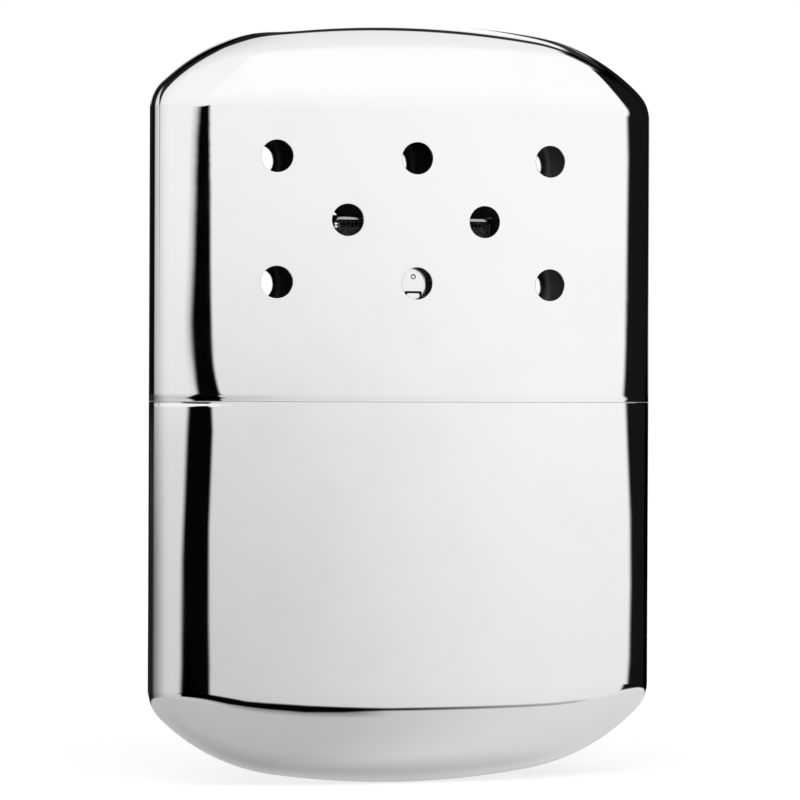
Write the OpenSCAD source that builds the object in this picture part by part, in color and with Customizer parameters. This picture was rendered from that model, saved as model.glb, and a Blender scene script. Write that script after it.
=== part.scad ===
// Catalytic pocket hand warmer: a flat drawn-metal case in two halves.
// The lower half is the fuel tank. Its shoulder carries an upstanding collar and
// a filler neck, the catalytic burner clips on the neck, and a vented lid slides
// down over the collar and hides it all.
// Frame: +Z up along the height, the front face looks towards -Y, and the origin
// is under the middle of the case at its lowest point.

/* [Case] */
// Width of the case across its face
body_w = 67; // [64:0.5:72]
// Height of the closed warmer from crown to crown
body_h = 99; // [94:1:108]
// Thickness through the middle of the two bowed faces
body_t = 13; // [12.4:0.1:15]
// Height at which the lid meets the tank
seam_z = 49.3; // [47:0.1:52]
// Sheet thickness of the two drawn shells
wall = 0.5; // [0.4:0.05:0.7]
// Radius of the narrow side edges, seen from above
edge_r = 3.5; // [3.2:0.1:4.2]

/* [Domed ends] */
// Radius of the nearly flat crown, seen from the front
crown_r = 110; // [90:5:160]
// Radius of the shoulders, seen from the front
shoulder_r = 27; // [25:0.5:30]
// Width from where the crown ends to the side of the case
shoulder_span = 16.3; // [15.5:0.1:17.5]
// Radius where a shoulder runs into the straight side
corner_r = 5; // [4:0.5:6]

/* [Seam] */
// Gap between the rim of the tank and the rim of the lid
seam_gap = 0.12; // [0.1:0.01:0.3]
// Rounding on the outer edge of both rims
lip_r = 0.3; // [0.2:0.05:0.35]

/* [Vent holes] */
// Diameter of a vent hole
vent_d = 4.1; // [3:0.1:5]
// Sideways step of the staggered hole grid
vent_step_x = 9.1; // [7:0.1:10]
// Upward step of the staggered hole grid
vent_step_z = 8; // [6:0.1:9]
// Height of the middle row above the seam
vent_rise = 23.2; // [20:0.1:25]

/* [Shoulder and collar] */
// Height of the collar above the seam
collar_h = 7.7; // [6:0.1:8.5]
// Gap between the collar and the inside of the lid
collar_gap = 0.2; // [0.15:0.01:0.4]
// Depth of the skirt inside the mouth of the tank
skirt_lap = 5; // [3:0.5:8]
// Solder gap between that skirt and the tank
solder_gap = 0.02; // [0.01:0.01:0.04]
// Sheet thickness of the shoulder
shoulder_wall = 0.4; // [0.3:0.05:0.5]
// Bend between the collar and the flat shoulder plate
shoulder_bend_r = 1.4; // [1:0.1:1.6]
// Distance of the friction dimples from the middle of the collar
dimple_x = 21; // [17:0.5:24]
// Radius of a friction dimple where it leaves the collar
dimple_r = 0.9; // [0.7:0.1:1.2]
// Gap between a friction dimple and the lid
dimple_gap = 0.05; // [0.04:0.01:0.08]

/* [Filler neck] */
// Height of the neck above the shoulder plate
neck_h = 4.5; // [4:0.1:5.5]
// Depth of the neck below the shoulder plate
neck_drop = 5; // [3:0.5:7]
// Wall of the neck
neck_wall = 0.4; // [0.3:0.05:0.5]
// Radius of the rolled bead round the mouth of the neck
bead_r = 0.5; // [0.4:0.05:0.6]
// Width of the flange under the shoulder plate
flange_w = 0.5; // [0.4:0.1:0.6]
// Thickness of that flange
flange_t = 0.4; // [0.3:0.1:0.6]
// Side gap of what is dropped into the neck
neck_fill_gap = 0.08; // [0.05:0.01:0.2]

/* [Burner] */
// Width of the burner housing
burner_w = 22.5; // [22:0.5:25]
// Thickness of the burner housing
burner_t = 9.2; // [8.4:0.1:9.4]
// Corner radius of the housing, seen from above
burner_corner_r = 2; // [1.9:0.1:2.6]
// Height of the housing
housing_h = 12.4; // [12.2:0.1:13]
// Sheet thickness of the housing
housing_wall = 0.35; // [0.3:0.05:0.4]
// Bend round the closed top of the housing
housing_bend_r = 0.4; // [0.4:0.1:0.8]
// Sheet thickness of the skirt of the burner
skirt_wall = 0.35; // [0.3:0.05:0.4]
// Height of that skirt above the mouth of the neck
skirt_rise = 0.8; // [0.6:0.1:1.2]
// Depth to which the skirt enters the housing
skirt_entry = 1.5; // [1:0.1:1.8]
// Gap between the parts that are pressed or spot-welded together
seat_gap = 0.04; // [0.03:0.01:0.06]
// Running gap between the skirt and the bead of the neck
neck_fit = 0.05; // [0.04:0.01:0.08]
// Gap between the skirt and the shoulder plate
burner_gap = 0.3; // [0.2:0.05:0.5]
// Width of the bar between the two windows
bar_w = 3.3; // [2.8:0.1:3.6]
// Width of a window
window_w = 8.7; // [7.6:0.1:8.9]
// Height of a window
window_h = 9.9; // [8.6:0.1:10]
// Corner radius of a window
window_r = 0.5; // [0.4:0.1:1.5]
// Distance of the windows below the top of the housing
window_drop = 0.6; // [0.5:0.1:1]
// Radius of the rivet head on the bar
rivet_r = 0.35; // [0.25:0.05:0.5]
// Height of that head above the bar
rivet_proud = 0.15; // [0.1:0.05:0.25]
// Distance of the rivet above the foot of the housing
rivet_rise = 4.6; // [4:0.1:5.2]
// Width of the spring tongue on each broad side of the skirt
tongue_w = 1.8; // [1.5:0.1:2.2]
// Height of the foot of a tongue above the foot of the skirt
tongue_lift = 1; // [0.5:0.1:1.5]
// Slit between a tongue and the housing
tongue_slit = 0.25; // [0.2:0.05:0.35]
// Reach of a tongue above the foot of the housing
tongue_reach = 2.5; // [2:0.1:2.8]
// Corner radius of the slot round a tongue
slot_r = 0.2; // [0.1:0.05:0.3]

/* [Catalyst and gauzes] */
// Thickness of the punched plate under the catalyst
vapour_plate_t = 0.3; // [0.2:0.05:0.5]
// Diameter of the holes in that plate
vapour_hole_d = 1.2; // [0.8:0.1:1.3]
// Sideways step of those holes
vapour_step = 2.6; // [2.3:0.1:3.5]
// Thickness of the wire gauzes
gauze_t = 0.15; // [0.1:0.05:0.25]
// Width of one mesh opening in a gauze
mesh_gap = 0.7; // [0.5:0.05:0.8]
// Step from one mesh opening to the next
mesh_step = 1.1; // [1:0.05:1.6]
// Width of the solid edge round a gauze
mesh_edge = 0.6; // [0.4:0.1:1]
// Reach of a gauze past the outer edge of a window
gauze_lap = 0.3; // [0.1:0.1:0.3]
// Gap round the catalyst mat
mat_gap = 0.12; // [0.08:0.01:0.3]
// Gap between the catalyst mat and the closed top of the housing
mat_head_gap = 1.3; // [0.8:0.1:1.6]
// Corner radius of the catalyst mat, seen from above
mat_corner_r = 1.5; // [1.2:0.1:2.4]
// Rounding of the catalyst mat
mat_r = 0.9; // [0.5:0.1:1.2]
// Gap between the fuel cotton and the skirt of the shoulder
cotton_gap = 0.3; // [0.2:0.1:0.6]

/* [Hidden] */

// Rounded exact shapes
$fn = 48;
// Segments along one bowed face, round one side edge and round one small corner
face_steps = 12;
side_steps = 12;
corner_steps = 8;
// Segments round the large ball whose cap is a shallow bump
ball_steps = 180;
// A cut reaches this far past the surface it opens
cut = 1;
// Keeps a quotient finite where a dome ends
tiny = 0.000001;

// Front elevation of a domed end: crown, shoulder and corner arcs that run into
// each other. An angle is that of the surface's normal away from the height.
crown_angle = asin((body_w / 2 - shoulder_span) / crown_r);
shoulder_angle = asin((shoulder_span + shoulder_r * sin(crown_angle) - corner_r)
                      / (shoulder_r - corner_r));
shoulder_x = (crown_r - shoulder_r) * sin(crown_angle);
shoulder_z = crown_r - (crown_r - shoulder_r) * cos(crown_angle);
corner_x = shoulder_x + (shoulder_r - corner_r) * sin(shoulder_angle);
corner_z = shoulder_z - (shoulder_r - corner_r) * cos(shoulder_angle);
// The dome ends where the corner arc turns straight
dome_h = corner_z;

// Heights
plate_z = seam_z + collar_h;
neck_top_z = plate_z + neck_h;
neck_foot_z = plate_z - neck_drop;
skirt_foot_z = plate_z + burner_gap;
skirt_head_z = neck_top_z + skirt_rise;
housing_foot_z = skirt_head_z - skirt_entry;
housing_top_z = housing_foot_z + housing_h;
mat_foot_z = skirt_head_z + vapour_plate_t;

// Insets from the outside of the case
collar_inset = wall + collar_gap;
skirt_inset = wall + solder_gap;
cotton_inset = skirt_inset + shoulder_wall + cotton_gap;

// Insets from the outside of the burner housing: its plan is the same rounded
// rectangle for the housing, the skirt inside it and the neck inside that
burner_skirt_inset = housing_wall + seat_gap;
bead_inset = burner_skirt_inset + skirt_wall + neck_fit;
neck_middle_inset = bead_inset + bead_r;
neck_inset = neck_middle_inset - neck_wall / 2;
neck_bore_inset = neck_inset + neck_wall;
neck_fill_inset = neck_bore_inset + neck_fill_gap;

// ---- outlines ----

// Radius of a bowed face that runs into side edges of radius r
function face_radius(a, b, r) = ((a - r) * (a - r) + b * b - r * r) / (2 * (b - r));

// Plan of the case: half-width a, half-thickness b, side edges of radius r
function oval(a, b, r) =
    let (big = face_radius(a, b, r))
    let (tilt = asin((a - r) / (big - r)))
    concat(
        [for (i = [0 : side_steps - 1])
            let (g = -90 + tilt + (180 - 2 * tilt) * i / side_steps)
            [a - r + r * cos(g), r * sin(g)]],
        [for (i = [0 : face_steps - 1])
            let (g = 90 - tilt + 2 * tilt * i / face_steps)
            [big * cos(g), b - big + big * sin(g)]],
        [for (i = [0 : side_steps - 1])
            let (g = 90 + tilt + (180 - 2 * tilt) * i / side_steps)
            [r - a + r * cos(g), r * sin(g)]],
        [for (i = [0 : face_steps - 1])
            let (g = 270 - tilt + 2 * tilt * i / face_steps)
            [big * cos(g), big - b + big * sin(g)]]);

// Half-thickness of the straight part of the case at the distance x from its middle
function half_thickness(x, inset) =
    let (a = body_w / 2 - inset, b = body_t / 2 - inset, r = edge_r - inset)
    let (big = face_radius(a, b, r), side = abs(x) - (a - r))
    abs(x) <= big * (a - r) / (big - r)
        ? b - big + sqrt(big * big - x * x)
        : sqrt(max(0, r * r - side * side));

// Ring round the straight part of the case at height z, an inset inside its surface
function straight_ring(inset, z) =
    [for (p = oval(body_w / 2 - inset, body_t / 2 - inset, edge_r - inset)) [p[0], p[1], z]];

// Point of the front elevation for normal angle g, as [half-width, depth below
// the crown], on the curve that lies the inset inside the case
function end_point(g, inset) =
    g <= crown_angle ? [(crown_r - inset) * sin(g), crown_r - (crown_r - inset) * cos(g)]
    : g <= shoulder_angle
        ? [shoulder_x + (shoulder_r - inset) * sin(g), shoulder_z - (shoulder_r - inset) * cos(g)]
        : [corner_x + (corner_r - inset) * sin(g), corner_z - (corner_r - inset) * cos(g)];

// Normal angles at which a dome has a ring, from the crown to the straight part
crown_rings = 3;
shoulder_rings = 6;
corner_rings = 4;
dome_angles = concat(
    [for (i = [1 : crown_rings]) crown_angle * i / crown_rings],
    [for (i = [1 : shoulder_rings])
        crown_angle + (shoulder_angle - crown_angle) * i / shoulder_rings],
    [for (i = [1 : corner_rings])
        shoulder_angle + (90 - shoulder_angle) * i / corner_rings]);

// Depth below the crown of the same curve at the distance x from the middle
function end_depth(x, inset) =
    let (crown = crown_r - inset, shoulder = shoulder_r - inset, corner = corner_r - inset)
    let (out = abs(x))
    out <= crown * sin(crown_angle) ? crown_r - sqrt(crown * crown - out * out)
    : out <= shoulder_x + shoulder * sin(shoulder_angle)
        ? shoulder_z - sqrt(shoulder * shoulder - pow(out - shoulder_x, 2))
        : corner_z - sqrt(max(0, corner * corner - pow(out - corner_x, 2)));

// Ring of a dome: cut lengthwise anywhere, the dome is half an ellipse that starts
// at the edge curve and ends where the case is straight and at its full thickness
function dome_ring(g, inset) =
    let (edge = end_point(g, inset), height = dome_h - edge[1])
    [for (p = oval(body_w / 2 - inset, body_t / 2 - inset, edge_r - inset))
        let (x = p[0] * edge[0] / (body_w / 2 - inset))
        let (rise = height / max(dome_h - end_depth(x, inset), height, tiny))
        [x, sign(p[1]) * half_thickness(x, inset) * sqrt(max(0, 1 - rise * rise)), -edge[1]]];
function dome_rings(inset) = [for (g = dome_angles) dome_ring(g, inset)];
function reversed(list) = [for (i = [len(list) - 1 : -1 : 0]) list[i]];

// Rounded rectangle in plan, as a ring of points and as an exact 2D shape
function rounded_ring(w, d, r, z) =
    [for (c = [[1, -1, -90], [1, 1, 0], [-1, 1, 90], [-1, -1, 180]])
        for (i = [0 : corner_steps])
            let (g = c[2] + 90 * i / corner_steps)
            [c[0] * (w / 2 - r) + r * cos(g), c[1] * (d / 2 - r) + r * sin(g), z]];
function burner_ring(inset, z) =
    rounded_ring(burner_w - 2 * inset, burner_t - 2 * inset, burner_corner_r - inset, z);

module rounded_rectangle(w, d, r) {
    square([w - 2 * r, d], center = true);
    square([w, d - 2 * r], center = true);
    for (x = [-1, 1], y = [-1, 1])
        translate([x * (w / 2 - r), y * (d / 2 - r)])
            circle(r);
}

module burner_plan(inset) {
    rounded_rectangle(burner_w - 2 * inset, burner_t - 2 * inset, burner_corner_r - inset);
}

module burner_slab(inset, z, h) {
    translate([0, 0, z])
        linear_extrude(h)
            burner_plan(inset);
}

// ---- skins ----

// Closed skin through rings of equal length, from one end point to the other.
// The rings run anticlockwise seen from above, from the top outwards and down.
module skin(first, rings, last) {
    n = len(rings[0]);
    inner = len(rings) * n + 1;
    polyhedron(
        points = concat([first], [for (ring = rings) for (p = ring) p], [last]),
        faces = concat(
            [for (i = [0 : n - 1]) [0, 1 + (i + 1) % n, 1 + i]],
            [for (k = [0 : len(rings) - 2]) for (i = [0 : n - 1])
                [1 + k * n + i, 1 + k * n + (i + 1) % n, 1 + (k + 1) * n + (i + 1) % n]],
            [for (k = [0 : len(rings) - 2]) for (i = [0 : n - 1])
                [1 + k * n + i, 1 + (k + 1) * n + (i + 1) % n, 1 + (k + 1) * n + i]],
            [for (i = [0 : n - 1]) [inner - n + i, inner - n + (i + 1) % n, inner]]));
}

// Deep-drawn cup with its crown at z = 0 and its rim below, rounded outside
module drawn_cup(depth) {
    outside = dome_rings(0);
    rim = [for (g = [0, 45, 90])
        straight_ring(lip_r * (1 - cos(g)), -depth + lip_r * (1 - sin(g)))];
    inside = dome_rings(wall);
    skin([0, 0, 0],
         concat(outside, rim, [straight_ring(wall, -depth)], reversed(inside)),
         [0, 0, -wall]);
}

// Tube of round section along a rounded rectangle
module bead(w, d, r, tube_r) {
    for (side = [-1, 1]) {
        translate([0, side * d / 2, 0])
            rotate([0, 90, 0])
                cylinder(r = tube_r, h = w - 2 * r, center = true);
        translate([side * w / 2, 0, 0])
            rotate([90, 0, 0])
                cylinder(r = tube_r, h = d - 2 * r, center = true);
    }
    for (c = [[1, 1, 0], [-1, 1, 90], [-1, -1, 180], [1, -1, 270]])
        translate([c[0] * (w / 2 - r), c[1] * (d / 2 - r), 0])
            rotate([0, 0, c[2]])
                rotate_extrude(angle = 90)
                    translate([r, 0])
                        circle(tube_r);
}

// ---- tank ----

module tank_shell() {
    color("silver")
        mirror([0, 0, 1])
            drawn_cup(seam_z);
}

// Wadding that soaks up the fuel, in the shape of the tank
module fuel_cotton() {
    depth = neck_foot_z;
    color("ivory")
        mirror([0, 0, 1])
            skin([0, 0, -cotton_inset],
                 concat(dome_rings(cotton_inset), [straight_ring(cotton_inset, -depth)]),
                 [0, 0, -depth]);
}

// Drawn cap in the mouth of the tank: skirt, step, collar and flat top plate
module shoulder_cap() {
    step_z = seam_z - lip_r;
    bend = [for (g = [0, 30, 60, 90]) [1 - sin(g), 1 - cos(g)]];
    outside = concat(
        [for (b = bend)
            straight_ring(collar_inset + shoulder_bend_r * b[0], plate_z - shoulder_bend_r * b[1])],
        [straight_ring(collar_inset, seam_z), straight_ring(skirt_inset, step_z),
         straight_ring(skirt_inset, seam_z - skirt_lap)]);
    inner_r = shoulder_bend_r - shoulder_wall;
    inside = concat(
        [straight_ring(skirt_inset + shoulder_wall, seam_z - skirt_lap),
         straight_ring(skirt_inset + shoulder_wall, step_z - shoulder_wall),
         straight_ring(collar_inset + shoulder_wall, seam_z - shoulder_wall)],
        [for (b = reversed(bend))
            straight_ring(collar_inset + shoulder_wall + inner_r * b[0],
                          plate_z - shoulder_wall - inner_r * b[1])]);
    skin([0, 0, plate_z], concat(outside, inside), [0, 0, plate_z - shoulder_wall]);
}

// Shallow round bump of radius r that stands proud of z = 0 and is rooted below it
module bump(r, proud, root) {
    ball_r = (r * r + proud * proud) / (2 * proud);
    rotate_extrude()
        intersection() {
            translate([0, proud - ball_r])
                circle(ball_r, $fn = ball_steps);
            translate([0, -root])
                square([r, root + proud]);
        }
}

// Bump pressed out of the collar, which grips the lid
module friction_dimple() {
    bump(dimple_r, collar_gap - dimple_gap, shoulder_wall / 2);
}

module tank_shoulder() {
    collar_face_r = face_radius(body_w / 2, body_t / 2, edge_r) - collar_inset;
    dimple_angle = asin(dimple_x / collar_face_r);
    color("gainsboro")
        difference() {
            union() {
                shoulder_cap();
                for (side = [0, 180], way = [-1, 1])
                    rotate([0, 0, side])
                        translate([0, collar_face_r - body_t / 2 + collar_inset,
                                   seam_z + collar_h / 2])
                            rotate([0, 0, way * dimple_angle])
                                translate([0, -collar_face_r, 0])
                                    rotate([90, 0, 0])
                                        friction_dimple();
            }
            burner_slab(neck_inset - seat_gap, plate_z - shoulder_wall - cut,
                        shoulder_wall + 2 * cut);
        }
}

// Neck with a rolled bead round its mouth and a flange under the plate
module filler_neck() {
    flange_z = plate_z - shoulder_wall - flange_t;
    bead_z = neck_top_z - bead_r;
    color("silver")
        difference() {
            union() {
                burner_slab(neck_inset, neck_foot_z, bead_z - neck_foot_z);
                burner_slab(neck_inset - flange_w, flange_z, flange_t);
                translate([0, 0, bead_z])
                    bead(burner_w - 2 * neck_middle_inset, burner_t - 2 * neck_middle_inset,
                         burner_corner_r - neck_middle_inset, bead_r);
            }
            burner_slab(neck_bore_inset, neck_foot_z - cut, bead_z - neck_foot_z + cut);
        }
}

// Absorbent pad that brings the fuel vapour up into the neck
module neck_pad() {
    color("ivory")
        burner_slab(neck_fill_inset, neck_foot_z, neck_drop);
}

// Mesh openings in rows over a width and a height, centred
module mesh_openings(w, h, thickness) {
    columns = floor((w - 2 * mesh_edge - mesh_gap) / mesh_step);
    rows = floor((h - 2 * mesh_edge - mesh_gap) / mesh_step);
    for (i = [0 : columns], k = [0 : rows])
        translate([(i - columns / 2) * mesh_step, (k - rows / 2) * mesh_step, 0])
            cube([mesh_gap, mesh_gap, thickness], center = true);
}

// Gauze that keeps the pad down in the neck
module neck_gauze() {
    color("dimgray")
        difference() {
            burner_slab(neck_fill_inset, plate_z, gauze_t);
            translate([0, 0, plate_z])
                mesh_openings(burner_w - 2 * neck_fill_inset, burner_t - 2 * neck_fill_inset, cut);
        }
}

// ---- lid ----

// Drawn lid with a staggered grid of vent holes through both faces
module lid_shell() {
    color("silver")
        difference() {
            translate([0, 0, body_h])
                drawn_cup(body_h - seam_z - seam_gap);
            for (row = [-1 : 1], column = [-2 : 2])
                if (abs(row + column) % 2 == 1)
                    translate([column * vent_step_x, 0, seam_z + vent_rise + row * vent_step_z])
                        rotate([90, 0, 0])
                            cylinder(d = vent_d, h = body_t + 2 * cut, center = true);
        }
}

// ---- burner ----

// Drawn housing, open below, with two windows and a riveted bar on each broad side
module burner_housing() {
    bend = [for (g = [0, 30, 60, 90]) [1 - sin(g), 1 - cos(g)]];
    inner_r = housing_bend_r - housing_wall;
    outside = [for (b = bend)
        burner_ring(housing_bend_r * b[0], housing_top_z - housing_bend_r * b[1])];
    inside = [for (b = reversed(bend))
        burner_ring(housing_wall + inner_r * b[0],
                    housing_top_z - housing_wall - inner_r * b[1])];
    slot_w = tongue_w + 2 * tongue_slit;
    slot_h = tongue_reach + tongue_slit;
    color("silver")
        difference() {
            union() {
                skin([0, 0, housing_top_z],
                     concat(outside,
                            [burner_ring(0, housing_foot_z),
                             burner_ring(housing_wall, housing_foot_z)],
                            inside),
                     [0, 0, housing_top_z - housing_wall]);
                for (side = [0, 180])
                    rotate([0, 0, side])
                        translate([0, -burner_t / 2, housing_foot_z + rivet_rise])
                            rotate([90, 0, 0])
                                bump(rivet_r, rivet_proud, housing_wall / 2);
            }
            for (side = [-1, 1])
                translate([side * (bar_w + window_w) / 2, burner_t / 2 + cut,
                           housing_top_z - window_drop - window_h / 2])
                    rotate([90, 0, 0])
                        linear_extrude(burner_t + 2 * cut)
                            rounded_rectangle(window_w, window_h, window_r);
            // The lower half of this outline falls below the housing
            translate([0, burner_t / 2 + cut, housing_foot_z])
                rotate([90, 0, 0])
                    linear_extrude(burner_t + 2 * cut)
                        rounded_rectangle(slot_w, 2 * slot_h, slot_r);
        }
}

// Skirt that slips over the bead of the neck, with a spring tongue front and back:
// a tongue is thick where it is welded to the skirt and as thin as the housing above
module burner_skirt() {
    tongue_foot_z = skirt_foot_z + tongue_lift;
    root_y = burner_t / 2 - burner_skirt_inset - skirt_wall / 2;
    color("gainsboro")
        difference() {
            union() {
                burner_slab(burner_skirt_inset, skirt_foot_z, skirt_head_z - skirt_foot_z);
                for (side = [0, 180])
                    rotate([0, 0, side])
                        translate([-tongue_w / 2, 0, tongue_foot_z]) {
                            translate([0, root_y, 0])
                                cube([tongue_w, burner_t / 2 - root_y,
                                      skirt_head_z - tongue_foot_z]);
                            translate([0, burner_t / 2 - housing_wall, 0])
                                cube([tongue_w, housing_wall,
                                      housing_foot_z + tongue_reach - tongue_foot_z]);
                        }
            }
            burner_slab(burner_skirt_inset + skirt_wall, skirt_foot_z - cut,
                        skirt_head_z - skirt_foot_z + 2 * cut);
        }
}

// Punched plate on the skirt, which carries the catalyst and lets vapour through
module vapour_plate() {
    inner_w = burner_w - 2 * burner_skirt_inset;
    columns = floor((inner_w / 2 - burner_corner_r) / vapour_step);
    color("silver")
        difference() {
            burner_slab(burner_skirt_inset, skirt_head_z, vapour_plate_t);
            for (i = [-columns : columns], row = [-1, 1])
                translate([i * vapour_step, row * vapour_step / 2, skirt_head_z - cut])
                    cylinder(d = vapour_hole_d, h = vapour_plate_t + 2 * cut);
        }
}

// Catalyst: a folded mat of fine fibre that fills the housing between its gauzes
module catalyst_mat() {
    side_inset = housing_wall + seat_gap + mat_gap;
    mat_w = burner_w - 2 * side_inset;
    mat_t = burner_t - 2 * (housing_wall + seat_gap + gauze_t + mat_gap);
    head_z = housing_top_z - housing_wall - mat_head_gap;
    // How far the edges of the folded mat draw in, from the middle of a side out
    edge = [for (g = [0, 30, 60, 90]) [mat_r * (1 - sin(g)), mat_r * (1 - cos(g))]];
    function mat_ring(in, z) = rounded_ring(mat_w - 2 * in, mat_t - 2 * in, mat_corner_r - in, z);
    color("slategray")
        skin([0, 0, head_z],
             concat([for (e = edge) mat_ring(e[0], head_z - e[1])],
                    [for (e = reversed(edge)) mat_ring(e[0], mat_foot_z + e[1])]),
             [0, 0, mat_foot_z]);
}

// Wire gauze between the catalyst and the windows of the front side, bent a little
// round the corners of the housing
module window_gauze() {
    gauze_w = bar_w + 2 * window_w + 2 * gauze_lap;
    gauze_h = housing_h - skirt_entry - vapour_plate_t - housing_bend_r;
    inset = housing_wall + seat_gap;
    difference() {
        intersection() {
            difference() {
                burner_slab(inset, mat_foot_z, gauze_h);
                burner_slab(inset + gauze_t, mat_foot_z - cut, gauze_h + 2 * cut);
            }
            translate([-gauze_w / 2, -burner_t / 2, mat_foot_z - cut])
                cube([gauze_w, burner_corner_r, gauze_h + 2 * cut]);
        }
        translate([0, inset - burner_t / 2, mat_foot_z + gauze_h / 2])
            rotate([90, 0, 0])
                mesh_openings(gauze_w, gauze_h, 2 * cut);
    }
}

module gauze_front() {
    color("dimgray")
        window_gauze();
}

module gauze_back() {
    color("dimgray")
        rotate([0, 0, 180])
            window_gauze();
}

tank_shell();
fuel_cotton();
tank_shoulder();
filler_neck();
neck_pad();
neck_gauze();
lid_shell();
burner_housing();
burner_skirt();
vapour_plate();
catalyst_mat();
gauze_front();
gauze_back();
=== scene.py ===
import math

import bmesh
import bpy
import numpy as np
from mathutils import Matrix, Vector, noise


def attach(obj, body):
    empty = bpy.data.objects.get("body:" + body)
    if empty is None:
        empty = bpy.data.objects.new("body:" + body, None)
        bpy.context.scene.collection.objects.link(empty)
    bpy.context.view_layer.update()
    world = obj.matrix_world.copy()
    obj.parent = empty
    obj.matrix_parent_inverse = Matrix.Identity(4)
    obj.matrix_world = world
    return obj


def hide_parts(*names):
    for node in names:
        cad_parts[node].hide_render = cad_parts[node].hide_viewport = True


# Dresses the catalytic hand warmer. The case, the collar and the burner are smooth
# meshes on the same analytic surfaces as the solids they stand for. Lengths are in
# millimetres up to make_mesh, which turns them into metres in the frame's own place.
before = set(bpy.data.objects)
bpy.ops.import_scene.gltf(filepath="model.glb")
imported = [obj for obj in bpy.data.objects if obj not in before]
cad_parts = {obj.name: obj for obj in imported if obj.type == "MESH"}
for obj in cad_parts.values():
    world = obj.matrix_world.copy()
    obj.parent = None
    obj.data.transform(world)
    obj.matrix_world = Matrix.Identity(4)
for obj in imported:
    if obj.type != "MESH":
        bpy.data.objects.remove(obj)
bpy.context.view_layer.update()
MM = 0.001

# ---- sizes, as in the solids ----

BODY_W, BODY_H, BODY_T = 67.0, 99.0, 13.0
SEAM_Z = 49.3
WALL, EDGE_R, LIP_R = 0.5, 3.5, 0.3
# The two rims as they look: almost closed, with a fine rounding. Near them the two cups
# have a ring at each of these distances from the rim
RIM_GAP, RIM_R = 0.02, 0.05
RIM_ROWS = (11, 8, 6, 4.4, 3.2, 2.3, 1.7, 1.3, 1.0, 0.85, 0.7, 0.6, 0.5, 0.4, 0.3, 0.2, 0.12)
CROWN_R, SHOULDER_R, SHOULDER_SPAN, CORNER_R = 110.0, 27.0, 16.3, 5.0
VENT_D, VENT_STEP_X, VENT_STEP_Z, VENT_RISE = 4.1, 9.1, 8.0, 23.2
COLLAR_H, COLLAR_GAP, SKIRT_LAP, SOLDER_GAP = 7.7, 0.2, 5.0, 0.02
SHOULDER_WALL, SHOULDER_BEND_R = 0.4, 1.4
DIMPLE_X, DIMPLE_R, DIMPLE_PROUD = 21.0, 1.1, 0.15
BURNER_W, BURNER_T, BURNER_CORNER_R = 22.5, 9.2, 2.0
HOUSING_H, HOUSING_WALL, HOUSING_BEND_R, SEAT_GAP = 12.4, 0.35, 0.4, 0.04
BAR_W, WINDOW_W, WINDOW_H, WINDOW_R, WINDOW_DROP = 3.3, 8.7, 9.9, 0.5, 0.6
RIVET_R, RIVET_PROUD, RIVET_RISE = 0.35, 0.15, 4.6
TONGUE_W, TONGUE_LIFT, TONGUE_SLIT, TONGUE_REACH, SLOT_R = 1.8, 1.0, 0.25, 2.5, 0.2
SKIRT_WALL, NECK_FIT, NECK_WALL, BEAD_R = 0.35, 0.05, 0.4, 0.5
NECK_H, NECK_DROP, FLANGE_W, FLANGE_T = 4.5, 5.0, 0.5, 0.4
NECK_FILL_GAP, BURNER_GAP, SKIRT_RISE, SKIRT_ENTRY = 0.08, 0.3, 0.8, 1.5
PLATE_T, GAUZE_T, GAUZE_LAP, COTTON_GAP = 0.3, 0.15, 0.3, 0.3
MAT_GAP, MAT_HEAD_GAP, MAT_CORNER_R = 0.12, 1.3, 1.5

PLATE_Z = SEAM_Z + COLLAR_H
NECK_TOP_Z = PLATE_Z + NECK_H
NECK_FOOT_Z = PLATE_Z - NECK_DROP
SKIRT_FOOT_Z = PLATE_Z + BURNER_GAP
SKIRT_HEAD_Z = NECK_TOP_Z + SKIRT_RISE
HOUSING_FOOT_Z = SKIRT_HEAD_Z - SKIRT_ENTRY
HOUSING_TOP_Z = HOUSING_FOOT_Z + HOUSING_H
MAT_FOOT_Z = SKIRT_HEAD_Z + PLATE_T

COLLAR_INSET = WALL + COLLAR_GAP
SKIRT_INSET = WALL + SOLDER_GAP
COTTON_INSET = SKIRT_INSET + SHOULDER_WALL + COTTON_GAP
BURNER_SKIRT_INSET = HOUSING_WALL + SEAT_GAP
BEAD_INSET = BURNER_SKIRT_INSET + SKIRT_WALL + NECK_FIT
NECK_MIDDLE_INSET = BEAD_INSET + BEAD_R
NECK_INSET = NECK_MIDDLE_INSET - NECK_WALL / 2
NECK_BORE_INSET = NECK_INSET + NECK_WALL
NECK_FILL_INSET = NECK_BORE_INSET + NECK_FILL_GAP
GAUZE_INSET = HOUSING_WALL + SEAT_GAP + 0.1

HALF_W, HALF_T = BODY_W / 2, BODY_T / 2
FACE_R = ((HALF_W - EDGE_R) ** 2 + HALF_T**2 - EDGE_R**2) / (2 * (HALF_T - EDGE_R))
FACE_TILT = math.asin((HALF_W - EDGE_R) / (FACE_R - EDGE_R))

# Front elevation of a domed end, as tangent arcs: crown, shoulder and corner
CROWN_ANGLE = math.asin((HALF_W - SHOULDER_SPAN) / CROWN_R)
SHOULDER_ANGLE = math.asin(
    (SHOULDER_SPAN + SHOULDER_R * math.sin(CROWN_ANGLE) - CORNER_R) / (SHOULDER_R - CORNER_R))
SHOULDER_X = (CROWN_R - SHOULDER_R) * math.sin(CROWN_ANGLE)
SHOULDER_Z = CROWN_R - (CROWN_R - SHOULDER_R) * math.cos(CROWN_ANGLE)
CORNER_X = SHOULDER_X + (SHOULDER_R - CORNER_R) * math.sin(SHOULDER_ANGLE)
DOME_H = SHOULDER_Z - (SHOULDER_R - CORNER_R) * math.cos(SHOULDER_ANGLE)
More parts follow.
